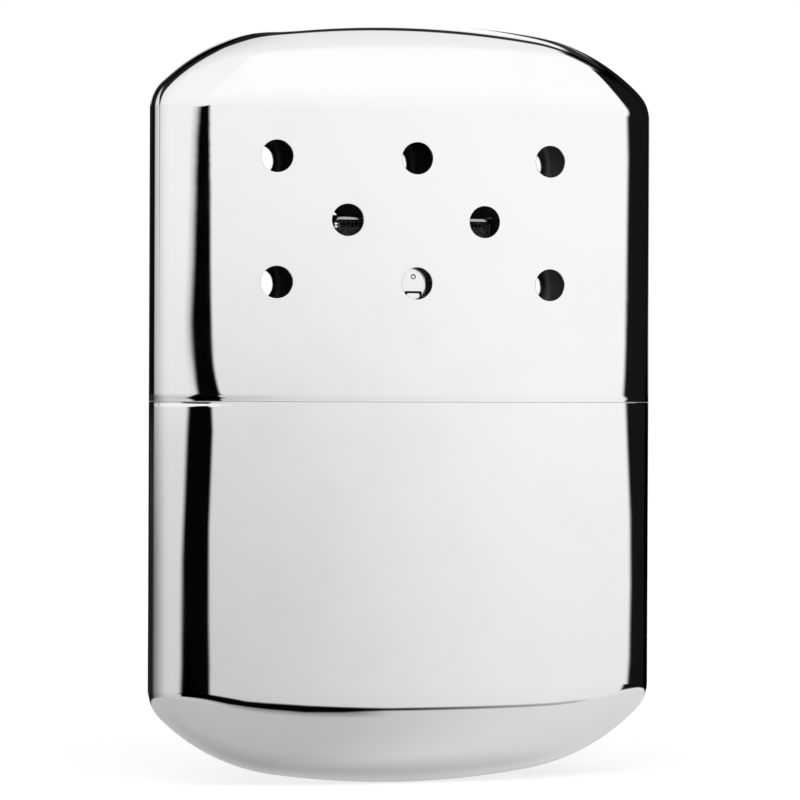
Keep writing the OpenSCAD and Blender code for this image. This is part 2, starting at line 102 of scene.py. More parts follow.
# Each arc's centre, radius, last angle and number of rings
END_ARCS = ((0.0, CROWN_R, CROWN_R, CROWN_ANGLE, 12),
            (SHOULDER_X, SHOULDER_Z, SHOULDER_R, SHOULDER_ANGLE, 26),
            (CORNER_X, DOME_H, CORNER_R, math.pi / 2, 18))

# ---- density of the meshes ----

GRID_COLUMNS, GRID_ROWS, CELL_CUTS = 5, 3, 12
GRID_HALF = GRID_COLUMNS * VENT_STEP_X / 2
OUTER_CUTS, SIDE_CUTS = 8, 28
CORNER_CUTS, EDGE_CUTS = 10, 8
HOLE_ROLL = 0.06
GAUZE_PITCH, GAUZE_WIRE_R, WIRE_SIDES, WIRE_STEPS = 0.55, 0.05, 6, 4
MAT_ROUND, MAT_FOLD, MAT_FLUFF = 0.9, 1.45, 0.2

# ---- looks ----

CHROME, WORN_CHROME = (0.92, 0.92, 0.923), (0.895, 0.895, 0.898)
BURNER_STEEL, HEATED_STEEL = (0.92, 0.915, 0.905), (0.44, 0.42, 0.40)
STUDIO_STRENGTH, FLOOR_LIFT = 1.08, 0.5
# Camera: turn, rise and roll in degrees, aim and distance in millimetres
CAMERA_TURN = (-15.589, 0.382, 0.245)
CAMERA_AIM, CAMERA_AWAY, CAMERA_LENS = (-0.41, 0, 49.544), 450, 156.13


# ---- the surface of the case ----

def half_thickness(x, inset=0.0):
    """Half the thickness of the straight part of the case, at x and an inset inside it."""
    out = np.abs(x)
    face_r, edge_r = FACE_R - inset, EDGE_R - inset
    centre = HALF_W - EDGE_R
    bowed = HALF_T - inset - face_r + np.sqrt(np.maximum(face_r**2 - out**2, 0))
    edge = np.sqrt(np.maximum(edge_r**2 - (out - centre) ** 2, 0))
    return np.where(out <= face_r * math.sin(FACE_TILT), bowed, edge)


def end_point(angle, inset):
    """Half-width and depth below the crown where a domed end's normal leans by angle."""
    x, z, radius, *_ = next(arc for arc in END_ARCS if angle <= arc[3])
    return x + (radius - inset) * math.sin(angle), z - (radius - inset) * math.cos(angle)


def end_depth(x, inset):
    """Depth below the crown of the same curve, at x."""
    out = np.abs(x)
    on_arc = [z - np.sqrt(np.maximum((radius - inset) ** 2 - (out - middle) ** 2, 0))
              for middle, z, radius, *_ in END_ARCS]
    reached = [out <= end_point(arc[3], inset)[0] for arc in END_ARCS[:2]]
    return np.select(reached, on_arc[:2], on_arc[2])


def face_columns(inset, extra=()):
    """Places across a bowed face at which the mesh has a column."""
    grid = np.linspace(-GRID_HALF, GRID_HALF, GRID_COLUMNS * CELL_CUTS + 1)
    grid = np.unique(np.concatenate((grid, extra)))
    outer = np.linspace(GRID_HALF, (FACE_R - inset) * math.sin(FACE_TILT), OUTER_CUTS + 1)[1:]
    return np.concatenate((-outer[::-1], grid, outer))


def plan_ring(inset, extra=()):
    """Plan of the case at an inset: front face, right edge, back face and left edge."""
    x = face_columns(inset, extra)
    front = np.column_stack((x, -half_thickness(x, inset)))
    turn = np.linspace(FACE_TILT - math.pi / 2, math.pi / 2 - FACE_TILT, SIDE_CUTS + 1)[1:-1]
    right = np.column_stack((HALF_W - EDGE_R + (EDGE_R - inset) * np.cos(turn),
                             (EDGE_R - inset) * np.sin(turn)))
    return np.concatenate((front, right, -front, -right))


def at_height(ring, z):
    return np.column_stack((ring, np.full(len(ring), z)))


def straight_ring(inset, z, extra=()):
    return at_height(plan_ring(inset, extra), z)


def dome_ring(angle, inset):
    """Ring of a domed end: cut lengthwise anywhere, the end is half an ellipse."""
    width, depth = end_point(angle, inset)
    ring = plan_ring(inset)
    x = ring[:, 0] * width / (HALF_W - inset)
    height = DOME_H - depth
    rise = height / np.maximum(np.maximum(DOME_H - end_depth(x, inset), height), 1e-6)
    y = np.sign(ring[:, 1]) * half_thickness(x, inset) * np.sqrt(np.maximum(0, 1 - rise**2))
    return np.column_stack((x, y, np.full(len(x), -depth)))


def dome_rings(inset):
    """Rings of a domed end with its crown at height 0, from the crown down."""
    first, rings = 0, []
    for *_, last, count in END_ARCS:
        rings += [dome_ring(angle, inset) for angle in np.linspace(first, last, count + 1)[1:]]
        first = last
    return rings


# ---- mesh making ----

def make_mesh(name, points, faces, materials, slots=None, normals=None, crease=None):
    """A smooth mesh object from points in millimetres. normals holds exact normals of
    some points, by number, and crease is the angle in degrees from which edges are sharp."""
    used = sorted({number for face in faces for number in face})
    renumber = {old: new for new, old in enumerate(used)}
    mesh = bpy.data.meshes.new(name)
    mesh.from_pydata((np.asarray(points)[used] * MM).tolist(), [],
                     [[renumber[number] for number in face] for face in faces])
    for material in materials:
        mesh.materials.append(material)
    if slots is not None:
        mesh.polygons.foreach_set("material_index", slots)
    mesh.polygons.foreach_set("use_smooth", [True] * len(mesh.polygons))
    mesh.update()
    if crease:
        mesh.set_sharp_from_angle(angle=math.radians(crease))
    if normals:
        exact = [n.vector.copy() for n in mesh.vertex_normals]
        for number, normal in normals.items():
            if number in renumber:
                exact[renumber[number]] = Vector(normal)
        mesh.normals_split_custom_set_from_vertices(exact)
    obj = bpy.data.objects.new(name, mesh)
    bpy.context.scene.collection.objects.link(obj)
    return obj


def strip(first, second):
    """Quads from one closed loop of point numbers to the next."""
    following = list(range(1, len(first))) + [0]
    return [(first[i], second[i], second[j], first[j]) for i, j in enumerate(following)]


def skin(rings, top=None, end=None, left_out=()):
    """Points and faces of a skin through closed rings, from the top outwards and down.
    A point closes it at the top and at the end, or the rings join up in a loop.
    left_out holds (ring, column) of quads that aren't made."""
    count = len(rings[0])
    start = 0 if top is None else 1
    points = [p for ring in rings for p in ring]
    loops = [list(range(start + k * count, start + (k + 1) * count)) for k in range(len(rings))]
    faces = []
    if top is not None:
        points = [top] + points + [end]
        faces += [(0, a, b) for a, b in zip(loops[0], loops[0][1:] + loops[0][:1])]
    for k in range(len(rings) - 1):
        quads = strip(loops[k], loops[k + 1])
        faces += [quad for i, quad in enumerate(quads) if (k, i) not in left_out]
    if top is None:
        faces += strip(loops[-1], loops[0])
    else:
        last = len(points) - 1
        faces += [(a, last, b) for a, b in zip(loops[-1], loops[-1][1:] + loops[-1][:1])]
    return np.array(points), faces


def quarter(steps):
    """Angles of a quarter turn, 0 to 90 degrees."""
    return np.linspace(0, math.pi / 2, steps + 1)


def corner_arcs(width, height, radius, cuts):
    """The four corners of a rounded rectangle about the origin, anticlockwise."""
    arcs = []
    for right, up, start in ((1, -1, -90), (1, 1, 0), (-1, 1, 90), (-1, -1, 180)):
        turn = math.radians(start) + quarter(cuts)
        arcs.append(np.column_stack((right * (width / 2 - radius) + radius * np.cos(turn),
                                     up * (height / 2 - radius) + radius * np.sin(turn))))
    return arcs


def rounded_ring(width, depth, radius, z):
    """Rounded rectangle in plan, with points along its sides as well as its corners."""
    arcs = corner_arcs(width, depth, radius, CORNER_CUTS)
    share = np.linspace(0, 1, EDGE_CUTS + 1)[1:-1, None]
    joined = []
    for arc, following in zip(arcs, arcs[1:] + arcs[:1]):
        joined += [arc, arc[-1] + (following[0] - arc[-1]) * share]
    return at_height(np.concatenate(joined), z)


def burner_ring(inset, z):
    return rounded_ring(BURNER_W - 2 * inset, BURNER_T - 2 * inset, BURNER_CORNER_R - inset, z)


def plan_normals(points):
    """Outward normals of the straight part of the case at these points."""
    x, y = points[:, 0], points[:, 1]
    on_edge = np.abs(x) > FACE_R * math.sin(FACE_TILT)
    middle_x = np.where(on_edge, np.sign(x) * (HALF_W - EDGE_R), 0)
    middle_y = np.where(on_edge, 0, np.sign(y) * (HALF_T - FACE_R))
    out = np.column_stack((x - middle_x, y - middle_y, np.zeros(len(x))))
    return out / np.linalg.norm(out, axis=1)[:, None]


# ---- the drawn shells ----

def cup_normals(points, depth, tank):
    """Outward normals of a cup's straight part. Trimming has left the metal near the rims
    a little uneven: it turns in towards the seam, mostly at the left, and the lid flares."""
    normals = plan_normals(points)
    x, away = points[:, 0], points[:, 2] + depth
    if tank:
        turned = np.interp(x, (-26.6, -24.6), (5.0, 0.0))
        turned *= np.interp(away, (0, 0.2, 0.3, 0.5, 0.7), (-0.6, -0.4, 1, 0.8, 0))
    else:
        turned = np.interp(x, (-24, -17), (4.0, 0.9))
        turned *= np.interp(away, (0, 0.25, 0.45, 0.6, 0.9), (0.5, 0.6, 1, 0.7, 0))
        flare = np.interp(x, (-20, 0, 20), (-1, 0, 0.3))
        normals[:, 0] += np.radians(flare) * (0.5 * np.exp(-away / 3) + 0.13 * np.exp(-away / 15))
    normals[:, 2] = -np.radians(turned)
    return normals / np.linalg.norm(normals, axis=1)[:, None]


def vent_loops(border, inner_border):
    """Loops of points from a cell of the face into its vent hole and out on the inside."""
    side = np.sign(border[0, 1])
    middle = (border[0] + border[len(border) // 2]) / 2
    away = (border - middle)[:, [0, 2]]
    away /= np.linalg.norm(away, axis=1)[:, None]
    edge = VENT_D / 2 + HOLE_ROLL

    def loop(radius, depth):
        x = middle[0] + away[:, 0] * radius
        share = depth / WALL
        y = half_thickness(x) * (1 - share) + half_thickness(x, WALL) * share
        return np.column_stack((x, side * y, middle[2] + away[:, 1] * radius))

    def between(start, finish, share, inset):
        spot = start + (finish - start) * share
        spot[:, 1] = side * half_thickness(spot[:, 0], inset)
        return spot

    brim = loop(edge, 0)
    on_face = [between(border, brim, share, 0) for share in (0.4, 0.75, 0.94)] + [brim]
    rolled = [loop(edge - HOLE_ROLL * math.sin(g), HOLE_ROLL * (1 - math.cos(g)))
              for g in quarter(5)[1:]]
    through = loop(VENT_D / 2, WALL)
    inside = [through, between(through, inner_border, 0.5, WALL)]
    return on_face, rolled, inside


def drawn_cup(name, depth, rows, vents, materials):
    """Deep-drawn cup with an even wall. rows are the depths below its crown at which its
    straight part has rings, and vents is the row from which the vent holes' grid starts.
    The tank has none: it stands on its crown."""
    tank = vents is None
    domed = dome_rings(0)
    outside = domed + [straight_ring(0, -row) for row in rows]
    rim = [straight_ring(RIM_R * (1 - math.cos(g)), -depth + RIM_R * (1 - math.sin(g)))
           for g in quarter(5)]
    inside = [straight_ring(WALL, -depth)]
    inside += [straight_ring(WALL, -row) for row in rows[::-1]] + dome_rings(WALL)[::-1]
    rings = outside + rim + inside
    count = len(rings[0])
    inner_start = len(outside) + len(rim)

    def outer_ring(row):
        return len(domed) + row

    def inner_ring(row):
        return inner_start + len(rows) - row

    cells = [(vents + row * CELL_CUTS, face_start + OUTER_CUTS + column * CELL_CUTS)
             for row in range(GRID_ROWS) for column in range(row % 2, GRID_COLUMNS, 2)
             for face_start in (0, count // 2) if not tank]
    across = range(CELL_CUTS)
    left_out = {(ring, column + i) for row, column in cells for j in across for i in across
                for ring in (outer_ring(row + j), inner_ring(row + j + 1))}
    points, faces = skin(rings, (0, 0, 0), (0, 0, -WALL), left_out)
    inner_first = 1 + inner_start * count
    slots = [0 if min(face) < inner_first - count else 1 for face in faces]
    exact = list(range(1 + (len(domed) - 1) * count, 1 + (len(outside) + 1) * count))

    steps = [(j, 0) for j in across] + [(CELL_CUTS, i) for i in across]
    steps += [(CELL_CUTS - j, CELL_CUTS - i) for j, i in steps]
    for row, column in cells:
        border = [1 + outer_ring(row + j) * count + column + i for j, i in steps]
        inner_border = [1 + inner_ring(row + j) * count + column + i for j, i in steps]
        on_face, rolled, within = vent_loops(points[border], points[inner_border])
        chain = [border]
        for k, loop in enumerate(on_face + rolled + within):
            chain.append(list(range(len(points), len(points) + len(loop))))
            points = np.concatenate((points, loop))
            if k < len(on_face):
                exact += chain[-1]
        chain.append(inner_border)
        for k, (before, after) in enumerate(zip(chain, chain[1:])):
            faces += strip(after, before)
            slots += [0 if k <= len(on_face + rolled) else 1] * len(border)

    exact_normals = cup_normals(points[exact], depth, tank)
    if tank:
        points, exact_normals = points * (1, 1, -1), exact_normals * (1, 1, -1)
        faces = [face[::-1] for face in faces]
    else:
        points = points + (0, 0, BODY_H)
    return make_mesh(name, points, faces, materials, slots, dict(zip(exact, exact_normals)))


# ---- collar and shoulder ----

def dimple_rise(points):
    """How far the four pressed dimples lift the collar, at each of these points."""
    away = np.hypot(np.abs(points[:, 0]) - DIMPLE_X, points[:, 2] - (SEAM_Z + COLLAR_H / 2))
    inner = np.clip(away / DIMPLE_R, 0, 1)
    return DIMPLE_PROUD * np.cos(inner * math.pi / 2) ** 2


def opening_ring(columns, z):
    """The shoulder plate's opening for the neck: a rounded rectangle whose points match, in
    direction, those of the plan of the case."""
    inset = NECK_INSET - SEAT_GAP
    radius = BURNER_CORNER_R - inset
    half = np.array((BURNER_W / 2 - inset, BURNER_T / 2 - inset))
    way = plan_ring(0, columns) * half / (HALF_W, HALF_T)
    way /= np.linalg.norm(way, axis=1)[:, None]
    near, far = np.zeros(len(way)), np.full(len(way), BODY_W)
    for _ in range(40):
        reach = (near + far) / 2
        beyond = np.abs(way * reach[:, None]) - (half - radius)
        outside = (np.linalg.norm(np.maximum(beyond, 0), axis=1)
                   + np.minimum(beyond.max(axis=1), 0) > radius)
        near, far = np.where(outside, near, reach), np.where(outside, reach, far)
    return at_height(way * near[:, None], z)


def build_shoulder(materials):
    """Cap in the mouth of the tank: skirt, step, dimpled collar and flat top plate."""
    columns = np.concatenate([side * DIMPLE_X + np.linspace(-1.3, 1.3, 15) for side in (-1, 1)])
    dimple_z = SEAM_Z + COLLAR_H / 2
    heights = [PLATE_Z - SHOULDER_BEND_R - 0.15, *(dimple_z + np.linspace(1.3, -1.3, 15)),
               SEAM_Z + 0.15]

    def collar_ring(inset, z):
        ring = straight_ring(inset, z, columns)
        return ring + plan_normals(ring) * dimple_rise(ring)[:, None]

    def bend(inset, radius, top):
        return [straight_ring(inset + radius * (1 - math.sin(g)),
                              top - radius * (1 - math.cos(g)), columns) for g in quarter(7)]

    step_z, skirt_foot = SEAM_Z - LIP_R, SEAM_Z - SKIRT_LAP
    within, skirt_within = COLLAR_INSET + SHOULDER_WALL, SKIRT_INSET + SHOULDER_WALL
    skirt = ((COLLAR_INSET, SEAM_Z), (SKIRT_INSET, step_z), (SKIRT_INSET, skirt_foot),
             (skirt_within, skirt_foot), (skirt_within, step_z - SHOULDER_WALL),
             (within, SEAM_Z - SHOULDER_WALL))
    rings = [opening_ring(columns, PLATE_Z)]
    rings += bend(COLLAR_INSET, SHOULDER_BEND_R, PLATE_Z)
    rings += [collar_ring(COLLAR_INSET, z) for z in heights]
    rings += [straight_ring(inset, z, columns) for inset, z in skirt]
    rings += [collar_ring(within, z) for z in heights[:0:-1]]
    rings += bend(within, SHOULDER_BEND_R - SHOULDER_WALL, PLATE_Z - SHOULDER_WALL)[::-1]
    rings += [opening_ring(columns, PLATE_Z - SHOULDER_WALL)]
    points, faces = skin(rings)
    return make_mesh("collar", points, faces, materials, crease=32)


# ---- neck and burner ----

def burner_loft(name, profile, materials):
    """Closed loft round the burner's plan through (inset, height) places."""
    points, faces = skin([burner_ring(inset, z) for inset, z in profile])
    return make_mesh(name, points, faces, materials, crease=35)


def build_neck(materials):
    """Tube with a rolled bead round its mouth and a flange under the shoulder plate."""
    reach = math.asin(NECK_WALL / 2 / BEAD_R)
    bead_z = NECK_TOP_Z - BEAD_R
    flange_top = PLATE_Z - SHOULDER_WALL
    curl = math.pi / 2 - reach

    def bead(turn):
        return NECK_MIDDLE_INSET - BEAD_R * math.sin(turn), bead_z + BEAD_R * math.cos(turn)

    profile = [bead(turn) for turn in np.linspace(0, math.pi / 2 + curl, 12)]
    profile += [(NECK_INSET, flange_top), (NECK_INSET - FLANGE_W, flange_top),
                (NECK_INSET - FLANGE_W, flange_top - FLANGE_T),
                (NECK_INSET, flange_top - FLANGE_T), (NECK_INSET, NECK_FOOT_Z),
                (NECK_BORE_INSET, NECK_FOOT_Z)]
    profile += [bead(turn) for turn in np.linspace(-math.pi / 2 - curl, 0, 12)[:-1]]
    return burner_loft("neck", profile, materials)


def rounded_outline(x, z, width, height, radius, cuts=8):
    """Outline of a rounded rectangle about (x, z)."""
    return np.concatenate(corner_arcs(width, height, radius, cuts)) + (x, z)


def cut_out(obj, outlines):
    """Cuts openings with these outlines of (x, z) places through a piece, front to back."""
    points, faces = [], []
    for outline in outlines:
        front = range(len(points), len(points) + len(outline))
        back = range(front.stop, front.stop + len(outline))
        points += [(x, y, z) for y in (-BURNER_T, BURNER_T) for x, z in outline]
        faces += [tuple(front), tuple(back)[::-1], *strip(front, back)]
    cutter = make_mesh("cutter", points, faces, [])
    boolean = obj.modifiers.new("openings", "BOOLEAN")
    boolean.operation, boolean.solver, boolean.object = "DIFFERENCE", "EXACT", cutter
    bpy.context.view_layer.update()
    cut = bpy.data.meshes.new_from_object(
        obj.evaluated_get(bpy.context.evaluated_depsgraph_get()))
    obj.modifiers.clear()
    obj.data = cut
    bpy.data.objects.remove(cutter)


def ease_edges(obj, width):
    """Small bevels on the cut edges of sheet metal."""
    obj.data.set_sharp_from_angle(angle=math.radians(40))
    bevel = obj.modifiers.new("eased_edges", "BEVEL")
    bevel.width, bevel.segments = width * MM, 2
    bevel.limit_method, bevel.angle_limit = "ANGLE", math.radians(50)
    bevel.harden_normals = True


def add_solid(obj, points=(), faces=()):
    """Adds a closed solid, in millimetres, to a piece's mesh and turns all faces outwards."""
    mesh = bmesh.new()
    mesh.from_mesh(obj.data)
    corners = [mesh.verts.new(Vector(point) * MM) for point in points]
    for face in faces:
        mesh.faces.new([corners[number] for number in face]).smooth = True
    bmesh.ops.recalc_face_normals(mesh, faces=mesh.faces)
    mesh.to_mesh(obj.data)
    mesh.free()


def rivet_head(side):
    """Points and faces of the flat domed rivet head on one side's bar."""
    turn = np.linspace(0, 2 * math.pi, 24, endpoint=False)
    seat = -HOUSING_WALL / 2
    profile = [(RIVET_R * math.sin(g), RIVET_PROUD * math.cos(g)) for g in quarter(6)[1:]]
    rings = [np.column_stack((out * np.cos(turn), np.full(len(turn), depth),
                              out * np.sin(turn) * side))
             for out, depth in (*profile, (RIVET_R, seat))]
    points, faces = skin(rings, (0, RIVET_PROUD, 0), (0, seat, 0))
    return points * (1, side, 1) + (0, side * BURNER_T / 2, HOUSING_FOOT_Z + RIVET_RISE), faces


def build_housing(materials):
    """Drawn housing, open below, with two windows and a riveted bar on each broad side."""
    top, foot, wall = HOUSING_TOP_Z, HOUSING_FOOT_Z, HOUSING_WALL
    inner_r = HOUSING_BEND_R - wall
    rings = [burner_ring(HOUSING_BEND_R * (1 - math.sin(g)),
                         top - HOUSING_BEND_R * (1 - math.cos(g))) for g in quarter(7)]
    rings += [burner_ring(0, foot), burner_ring(wall, foot)]
    rings += [burner_ring(wall + inner_r * (1 - math.sin(g)),
                          top - wall - inner_r * (1 - math.cos(g))) for g in quarter(5)[::-1]]
    points, faces = skin(rings, (0, 0, top), (0, 0, top - wall))
    housing = make_mesh("burner_case", points, faces, materials)
    window_z = top - WINDOW_DROP - WINDOW_H / 2
    slot_w, slot_h = TONGUE_W + 2 * TONGUE_SLIT, TONGUE_REACH + TONGUE_SLIT
    outlines = [rounded_outline(side * (BAR_W + WINDOW_W) / 2, window_z,
                                WINDOW_W, WINDOW_H, WINDOW_R) for side in (-1, 1)]
    outlines += [rounded_outline(0, foot, slot_w, 2 * slot_h, SLOT_R, 4)]
    cut_out(housing, outlines)
    for side in (-1, 1):
        add_solid(housing, *rivet_head(side))
    ease_edges(housing, 0.05)
    return housing


def build_tongue(side):
    """Points and faces of the spring tongue pressed out of the skirt on one side."""
    wall = SKIRT_WALL
    seated = BURNER_T / 2 - BURNER_SKIRT_INSET - wall
    sprung = BURNER_T / 2 - wall
    foot, head = SKIRT_FOOT_Z + TONGUE_LIFT, HOUSING_FOOT_Z + TONGUE_REACH
    points, faces = [], []
    for share in np.linspace(0, 1, 30):
        z = foot + (head - foot) * share
        swing = min(1, max(0, (share - 0.06) / 0.4))
        y = seated + (sprung - seated) * swing * swing * (3 - 2 * swing)
        half = TONGUE_W / 2 - 0.15 * max(0, (share - 0.93) / 0.07) ** 2
        points += [(x, -side * depth, z) for x, depth in
                   ((-half, y + wall), (half, y + wall), (half, y), (-half, y))]
    for k in range(0, len(points) - 4, 4):
        faces += strip(range(k, k + 4), range(k + 4, k + 8))
    faces += [(0, 1, 2, 3), tuple(range(len(points) - 1, len(points) - 5, -1))]
    if side > 0:
        faces = [face[::-1] for face in faces]
    return points, faces


def build_burner_skirt(materials):
    """Skirt that slips over the bead of the neck, with a sprung tongue front and back."""
    inner = BURNER_SKIRT_INSET + SKIRT_WALL
    skirt = burner_loft("burner_foot", [(BURNER_SKIRT_INSET, SKIRT_HEAD_Z),
                                        (BURNER_SKIRT_INSET, SKIRT_FOOT_Z),
                                        (inner, SKIRT_FOOT_Z), (inner, SKIRT_HEAD_Z)], materials)
    foot, head = SKIRT_FOOT_Z + TONGUE_LIFT + 0.15, SKIRT_HEAD_Z - 0.4
    cut_out(skirt, [rounded_outline(0, (foot + head) / 2, TONGUE_W + 0.4, head - foot, 0.15, 4)])
    for side in (-1, 1):
        add_solid(skirt, *build_tongue(side))
    ease_edges(skirt, 0.04)
    return skirt


# ---- woven wire ----

def woven_wires(width, height, radius):
    """Points and faces of a plain weave about the origin, flat in x and y and trimmed to a
    rounded rectangle."""
    pitch, wire_r = GAUZE_PITCH, GAUZE_WIRE_R
    points, faces = [], []
    lengths = (width, height)
    for along, across in ((0, 1), (1, 0)):
        wires = int(lengths[across] / pitch)
        for k in range(wires):
            place = (k - (wires - 1) / 2) * pitch
            corner = max(0, abs(place) - (lengths[across] / 2 - radius))
            chord = lengths[along] / 2 - radius + math.sqrt(max(0, radius**2 - corner**2))
            crossings = int(chord / pitch * WIRE_STEPS)
            spots = np.arange(-crossings, crossings + 1) * pitch / WIRE_STEPS
            phase = (k + (int(lengths[along] / pitch) - 1) / 2) * math.pi + along * math.pi
            rise = wire_r * np.cos(spots * math.pi / pitch + phase)
            first = len(points)
            for spot, lift in zip(spots, rise):
                for g in np.arange(WIRE_SIDES) * 2 * math.pi / WIRE_SIDES:
                    point = [0.0, 0.0, lift + wire_r * math.sin(g)]
                    point[along] = spot
                    point[across] = place + wire_r * math.cos(g)
                    points.append(point)
            last = len(points) - WIRE_SIDES
            for k in range(first, last, WIRE_SIDES):
                faces += strip(range(k, k + WIRE_SIDES), range(k + WIRE_SIDES, k + 2 * WIRE_SIDES))
            faces += [tuple(range(first, first + WIRE_SIDES)),
                      tuple(range(last, last + WIRE_SIDES))[::-1]]
    return np.array(points), faces


def bend_round_corners(points, side):
    """Stands a flat weave up against the inside of the housing and round its corners."""
    flat = BURNER_W / 2 - BURNER_CORNER_R
    radius = BURNER_CORNER_R - GAUZE_INSET
    turn = np.maximum(np.abs(points[:, 0]) - flat, 0) / radius
    reach = radius + points[:, 2]
    x = np.sign(points[:, 0]) * (np.minimum(np.abs(points[:, 0]), flat) + reach * np.sin(turn))
    y = BURNER_T / 2 - BURNER_CORNER_R + reach * np.cos(turn)
    return np.column_stack((x, side * y, points[:, 1]))


def build_gauze(name, points, faces, materials):
    gauze = make_mesh(name, points, faces, materials)
    add_solid(gauze)
    return gauze


# ---- wadding, felt and fibre ----

def roughen(obj, depth, grain, seed):
    """Draws the skin of a soft piece in by up to depth, in soft lumps of size grain."""
    shift = Vector((seed * 7.3, seed * 3.1, seed * 5.7))
    normals = [n.vector.copy() for n in obj.data.vertex_normals]
    for vertex, normal in zip(obj.data.vertices, normals):
        spot = vertex.co / (grain * MM) + shift
        lump = 0.65 * noise.noise(spot) + 0.35 * noise.noise(spot * 2.7)
        vertex.co -= normal * depth * MM * min(1, max(0, 0.5 + 0.8 * lump))
    obj.data.update()


def soft_slab(name, inset, low, high, edge, crown, materials):
    """Pad on the burner's plan with soft edges and a crown on its top and foot."""
    def end_rings(end, inwards):
        """Rings of the top or the foot, from its middle to its side."""
        shares = np.linspace(0.06, 1, 14)
        rings = [burner_ring(inset + edge, end + inwards * crown * (1 - (1 - share) ** 2))
                 for share in shares]
        for ring, share in zip(rings, shares):
            ring[:, :2] *= share
        return rings + [burner_ring(inset + edge * (1 - math.sin(g)),
                                    end + inwards * (crown + edge * (1 - math.cos(g))))
                        for g in quarter(5)[1:]]

    side = np.linspace(high - crown - edge, low + crown + edge, 14)[1:-1]
    rings = end_rings(high, -1) + [burner_ring(inset, z) for z in side] + end_rings(low, 1)[::-1]
    points, faces = skin(rings, (0, 0, high), (0, 0, low))
    return make_mesh(name, points, faces, materials)


def build_mat(materials):
    """Catalyst: a mat of fine fibre folded over and over, as wide as its housing. Stray
    fibres stand up a little above the solid it stands for."""
    side = HOUSING_WALL + SEAT_GAP + MAT_GAP
    width = BURNER_W - 2 * side
    depth = BURNER_T - 2 * (HOUSING_WALL + SEAT_GAP + GAUZE_T + MAT_GAP)
    top = HOUSING_TOP_Z - HOUSING_WALL - MAT_HEAD_GAP + MAT_FLUFF
    heights = np.linspace(top, MAT_FOOT_Z, 40)
    rings = []
    for z in heights:
        near = min(top - z, z - MAT_FOOT_Z)
        draw_in = MAT_ROUND - math.sqrt(max(0, MAT_ROUND**2 - max(0, MAT_ROUND - near) ** 2))
        draw_in += 0.1 * (0.5 - 0.5 * math.cos(z * 2 * math.pi / MAT_FOLD))
        rings.append(rounded_ring(width - 2 * draw_in, depth - 2 * draw_in,
                                  MAT_CORNER_R - draw_in, z))
    points, faces = skin(rings, (0, 0, top), (0, 0, MAT_FOOT_Z))
    mat = make_mesh("catalyst_fibre", points, faces, materials)
    roughen(mat, 0.12, 0.8, 1)
    return mat


def build_cotton(materials):
    """Wadding that soaks up the fuel, in the shape of the tank."""
    rings = [straight_ring(COTTON_INSET + 2, -NECK_FOOT_Z), straight_ring(COTTON_INSET, -50)]
    rings += [straight_ring(COTTON_INSET, -z) for z in np.linspace(50, DOME_H, 30)[1:-1]]
    rings += dome_rings(COTTON_INSET)[::-1]
    points, faces = skin(rings, (0, 0, -NECK_FOOT_Z), (0, 0, -COTTON_INSET))
    cotton = make_mesh("fuel_wadding", points * (1, 1, -1), faces, materials)
    roughen(cotton, 0.5, 5, 2)
    return cotton


# ---- shader helpers ----

def plug(socket, value):
    """Gives a node's input a number, a colour, a Field or another node's socket."""
    if isinstance(value, Field):
        value = value.socket
    if isinstance(value, bpy.types.NodeSocket):
        socket.id_data.links.new(value, socket)
    elif socket.type == "RGBA":
        socket.default_value = (*value[:3], 1)
    else:
        socket.default_value = value


def add_node(tree, kind, settings=None, **inputs):
    """Adds a shader node, and plugs a value into each input named."""
    node = tree.nodes.new("ShaderNode" + kind)
    for key, value in (settings or {}).items():
        setattr(node, key, value)
    for key, value in inputs.items():
        plug(node.inputs[key.replace("_", " ")], value)
    return node


class Field:
    """A number in a shader. The usual operators on it make Math nodes."""

    def __init__(self, tree, socket):
        self.tree, self.socket = tree, socket

    def math(self, operation, *others, swap=False):
        node = self.tree.nodes.new("ShaderNodeMath")
        node.operation = operation
        values = (*others, self) if swap else (self, *others)
        for socket, value in zip(node.inputs, values):
            plug(socket, value)
        return Field(self.tree, node.outputs[0])

    def __add__(self, other):
        return self.math("ADD", other)

    def __sub__(self, other):
        return self.math("SUBTRACT", other)

    def __mul__(self, other):
        return self.math("MULTIPLY", other)

    def __rsub__(self, other):
        return self.math("SUBTRACT", other, swap=True)

    def __abs__(self):
        return self.math("ABSOLUTE")

    __radd__, __rmul__ = __add__, __mul__


def smooth(value, low, high):
    """0 at low, 1 at high and an S-curve between. low may be the larger of the two."""
    node = add_node(value.tree, "MapRange", {"interpolation_type": "SMOOTHSTEP"},
                    Value=value, From_Min=low, From_Max=high)
    return Field(value.tree, node.outputs["Result"])


def mix(first, second, share):
    return first + (second - first) * share


def ramp(value, *stops):
    """Straight lines through (value, result) stops; a result is 0 to 1."""
    low, high = stops[0][0], stops[-1][0]
    node = add_node(value.tree, "ValToRGB", Fac=(value - low) * (1 / (high - low)))
    elements = node.color_ramp.elements
    for place, _ in stops[1:-1]:
        elements.new((place - low) / (high - low))
    for element, (_, level) in zip(elements, stops):
        element.color = (level, level, level, 1)
    return Field(value.tree, node.outputs["Color"])


# ---- materials ----

def new_material(name, **shader):
    """A node material and its tree, with plain numbers set on its Principled shader."""
    material = bpy.data.materials.new(name)
    material.use_nodes = True
    tree = material.node_tree
    for key, value in shader.items():
        plug(tree.nodes["Principled BSDF"].inputs[key.replace("_", " ")], value)
    return material, tree


def join_shaders(tree, kind, *inputs):
    """Plugs these into a Mix or Add Shader node, and that into the tree's output."""
    node = add_node(tree, kind)
    for socket, value in zip(node.inputs, inputs):
        plug(socket, value)
    output = next(n for n in tree.nodes if n.type.startswith("OUTPUT_"))
    plug(output.inputs["Surface"], node.outputs[0])


